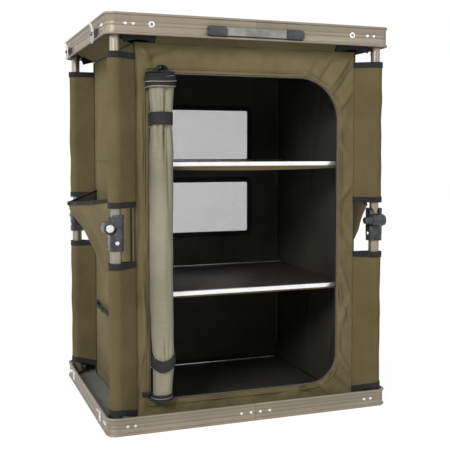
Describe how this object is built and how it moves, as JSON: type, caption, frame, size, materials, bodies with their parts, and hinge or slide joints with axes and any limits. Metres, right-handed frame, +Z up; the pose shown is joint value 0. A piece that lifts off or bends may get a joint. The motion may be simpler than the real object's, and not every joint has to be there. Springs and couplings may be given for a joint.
{
  "type": "camping cupboard",
  "caption": "Folding camping cupboard: cloth cabinet with shelves between two bent-rail frames, on four posts that fold in the middle, with a table board on top.",
  "frame": {"origin": "on the ground, under the centre of the plan", "axes": "+Z up, -Y towards the door opening, +X to the right seen from the front"},
  "size_m": [0.6258, 0.4838, 0.795],
  "materials": {
    "anodised_rail": "satin anodised",
    "anodised_tube": "satin anodised",
    "grey_board": "matt",
    "table_board": "matt",
    "black_nylon": "moulded satin",
    "bright_steel": "polished",
    "dark_grey_plastic": "matt",
    "light_grey_plastic": "matt",
    "olive_canvas": "woven",
    "dark_lining": "woven",
    "door_canvas": "coated back",
    "window_mesh": "fine net",
    "black_webbing": "woven",
    "silver_trim": "bright",
    "shelf_board": "textured"
  },
  "bodies": {
    "base": {"base_rail": "anodised_rail", "base_board": "grey_board", "base_corner_brackets": "black_nylon", "base_fasteners": "bright_steel", "base_join_plate": "bright_steel", "latch_catches": "bright_steel", "front_panel": "olive_canvas", "back_panel": "olive_canvas", "left_panel": "olive_canvas", "right_panel": "olive_canvas", "ceiling_and_floor": "dark_lining", "window_mesh": "window_mesh", "door_roll": "door_canvas", "door_ties": "black_webbing", "door_zip": "black_webbing", "side_pockets": "olive_canvas", "upper_sleeves": "olive_canvas", "lower_sleeves": "olive_canvas", "sleeve_bindings": "black_webbing", "hanging_straps": "black_webbing"},
    "lower_leg_fl": {"lower_tube_fl": "anodised_tube", "lower_socket_fl": "black_nylon", "knuckle_pin_fl": "bright_steel"},
    "upper_leg_fl": {"upper_tube_fl": "anodised_tube", "upper_socket_fl": "black_nylon"},
    "lower_leg_fr": {"lower_tube_fr": "anodised_tube", "lower_socket_fr": "black_nylon", "knuckle_pin_fr": "bright_steel"},
    "upper_leg_fr": {"upper_tube_fr": "anodised_tube", "upper_socket_fr": "black_nylon"},
    "lower_leg_br": {"lower_tube_br": "anodised_tube", "lower_socket_br": "black_nylon", "knuckle_pin_br": "bright_steel"},
    "upper_leg_br": {"upper_tube_br": "anodised_tube", "upper_socket_br": "black_nylon"},
    "lower_leg_bl": {"lower_tube_bl": "anodised_tube", "lower_socket_bl": "black_nylon", "knuckle_pin_bl": "bright_steel"},
    "upper_leg_bl": {"upper_tube_bl": "anodised_tube", "upper_socket_bl": "black_nylon"},
    "table_top": {"top_rail": "anodised_rail", "top_board": "table_board", "top_corner_brackets": "black_nylon", "top_fasteners": "bright_steel", "top_join_plate": "bright_steel", "handle_ends": "dark_grey_plastic", "handle_strap": "light_grey_plastic", "latch_bases": "black_nylon"},
    "shelf_lower": {"shelf_lower": "shelf_board", "shelf_lower_trim": "silver_trim"},
    "shelf_upper": {"shelf_upper": "shelf_board", "shelf_upper_trim": "silver_trim"},
    "latch_lever_lf": {"latch_lever_lf": "bright_steel"},
    "latch_bail_lf": {"latch_bail_lf": "bright_steel"},
    "latch_lever_lb": {"latch_lever_lb": "bright_steel"},
    "latch_bail_lb": {"latch_bail_lb": "bright_steel"},
    "latch_lever_rf": {"latch_lever_rf": "bright_steel"},
    "latch_bail_rf": {"latch_bail_rf": "bright_steel"},
    "latch_lever_rb": {"latch_lever_rb": "bright_steel"},
    "latch_bail_rb": {"latch_bail_rb": "bright_steel"}
  },
  "joints": [
    {"name": "fold", "type": "hinge", "parent": "base", "child": "lower_leg_fl", "pos_m": [-0.277, -0.2145, 0.021], "axis": [0, 1, 0], "range_deg": [0, 90], "deforming": ["front_panel", "back_panel", "left_panel", "right_panel", "ceiling_and_floor", "window_mesh", "door_roll", "door_ties", "door_zip", "side_pockets", "upper_sleeves", "lower_sleeves", "sleeve_bindings", "hanging_straps"]},
    {"name": "knuckle_fl", "type": "hinge", "parent": "lower_leg_fl", "child": "upper_leg_fl", "pos_m": [-0.2908, -0.2145, 0.394], "axis": [0, 1, 0], "range_deg": [-180, 0]},
    {"name": "lower_pivot_fr", "type": "hinge", "parent": "base", "child": "lower_leg_fr", "pos_m": [0.277, -0.2145, 0.021], "axis": [-1, 0, 0], "range_deg": [0, 90]},
    {"name": "knuckle_fr", "type": "hinge", "parent": "lower_leg_fr", "child": "upper_leg_fr", "pos_m": [0.277, -0.2283, 0.394], "axis": [-1, 0, 0], "range_deg": [-180, 0]},
    {"name": "lower_pivot_br", "type": "hinge", "parent": "base", "child": "lower_leg_br", "pos_m": [0.277, 0.2145, 0.021], "axis": [0, -1, 0], "range_deg": [0, 90]},
    {"name": "knuckle_br", "type": "hinge", "parent": "lower_leg_br", "child": "upper_leg_br", "pos_m": [0.2908, 0.2145, 0.394], "axis": [0, -1, 0], "range_deg": [-180, 0]},
    {"name": "lower_pivot_bl", "type": "hinge", "parent": "base", "child": "lower_leg_bl", "pos_m": [-0.277, 0.2145, 0.021], "axis": [1, 0, 0], "range_deg": [0, 90]},
    {"name": "knuckle_bl", "type": "hinge", "parent": "lower_leg_bl", "child": "upper_leg_bl", "pos_m": [-0.277, 0.2283, 0.394], "axis": [1, 0, 0], "range_deg": [-180, 0]},
    {"name": "top_pivot_fl", "type": "hinge", "parent": "upper_leg_fl", "child": "table_top", "pos_m": [-0.277, -0.2145, 0.767], "axis": [0, 1, 0], "range_deg": [0, 90]},
    {"name": "shelf_lower_drop", "type": "slide", "parent": "base", "child": "shelf_lower", "axis": [0, 0, 1], "range_m": [-0.24, 0]},
    {"name": "shelf_upper_drop", "type": "slide", "parent": "base", "child": "shelf_upper", "axis": [0, 0, 1], "range_m": [-0.482, 0]},
    {"name": "latch_lf", "type": "hinge", "parent": "table_top", "child": "latch_lever_lf", "pos_m": [-0.3066, -0.1525, 0.7645], "axis": [0, -1, 0], "range_deg": [0, 170]},
    {"name": "bail_lf", "type": "hinge", "parent": "latch_lever_lf", "child": "latch_bail_lf", "pos_m": [-0.3066, -0.1525, 0.7725], "axis": [0, -1, 0], "range_deg": [-170, 0]},
    {"name": "latch_lb", "type": "hinge", "parent": "table_top", "child": "latch_lever_lb", "pos_m": [-0.3066, 0.1525, 0.7645], "axis": [0, -1, 0], "range_deg": [0, 170]},
    {"name": "bail_lb", "type": "hinge", "parent": "latch_lever_lb", "child": "latch_bail_lb", "pos_m": [-0.3066, 0.1525, 0.7725], "axis": [0, -1, 0], "range_deg": [-170, 0]},
    {"name": "latch_rf", "type": "hinge", "parent": "table_top", "child": "latch_lever_rf", "pos_m": [0.3066, -0.1525, 0.7645], "axis": [0, 1, 0], "range_deg": [0, 170]},
    {"name": "bail_rf", "type": "hinge", "parent": "latch_lever_rf", "child": "latch_bail_rf", "pos_m": [0.3066, -0.1525, 0.7725], "axis": [0, 1, 0], "range_deg": [-170, 0]},
    {"name": "latch_rb", "type": "hinge", "parent": "table_top", "child": "latch_lever_rb", "pos_m": [0.3066, 0.1525, 0.7645], "axis": [0, 1, 0], "range_deg": [0, 170]},
    {"name": "bail_rb", "type": "hinge", "parent": "latch_lever_rb", "child": "latch_bail_rb", "pos_m": [0.3066, 0.1525, 0.7725], "axis": [0, 1, 0], "range_deg": [-170, 0]}
  ],
  "couplings": [
    {"joint": "knuckle_fl", "follows": "fold", "ratio": -2},
    {"joint": "lower_pivot_fr", "follows": "fold", "ratio": 1},
    {"joint": "knuckle_fr", "follows": "fold", "ratio": -2},
    {"joint": "lower_pivot_br", "follows": "fold", "ratio": 1},
    {"joint": "knuckle_br", "follows": "fold", "ratio": -2},
    {"joint": "lower_pivot_bl", "follows": "fold", "ratio": 1},
    {"joint": "knuckle_bl", "follows": "fold", "ratio": -2},
    {"joint": "top_pivot_fl", "follows": "fold", "ratio": 1},
    {"joint": "shelf_lower_drop", "follows": "fold", "m_per_rad": -0.15279},
    {"joint": "shelf_upper_drop", "follows": "fold", "m_per_rad": -0.30685},
    {"joint": "bail_lf", "follows": "latch_lf", "ratio": -1},
    {"joint": "bail_lb", "follows": "latch_lb", "ratio": -1},
    {"joint": "bail_rf", "follows": "latch_rf", "ratio": -1},
    {"joint": "bail_rb", "follows": "latch_rb", "ratio": -1}
  ]
}
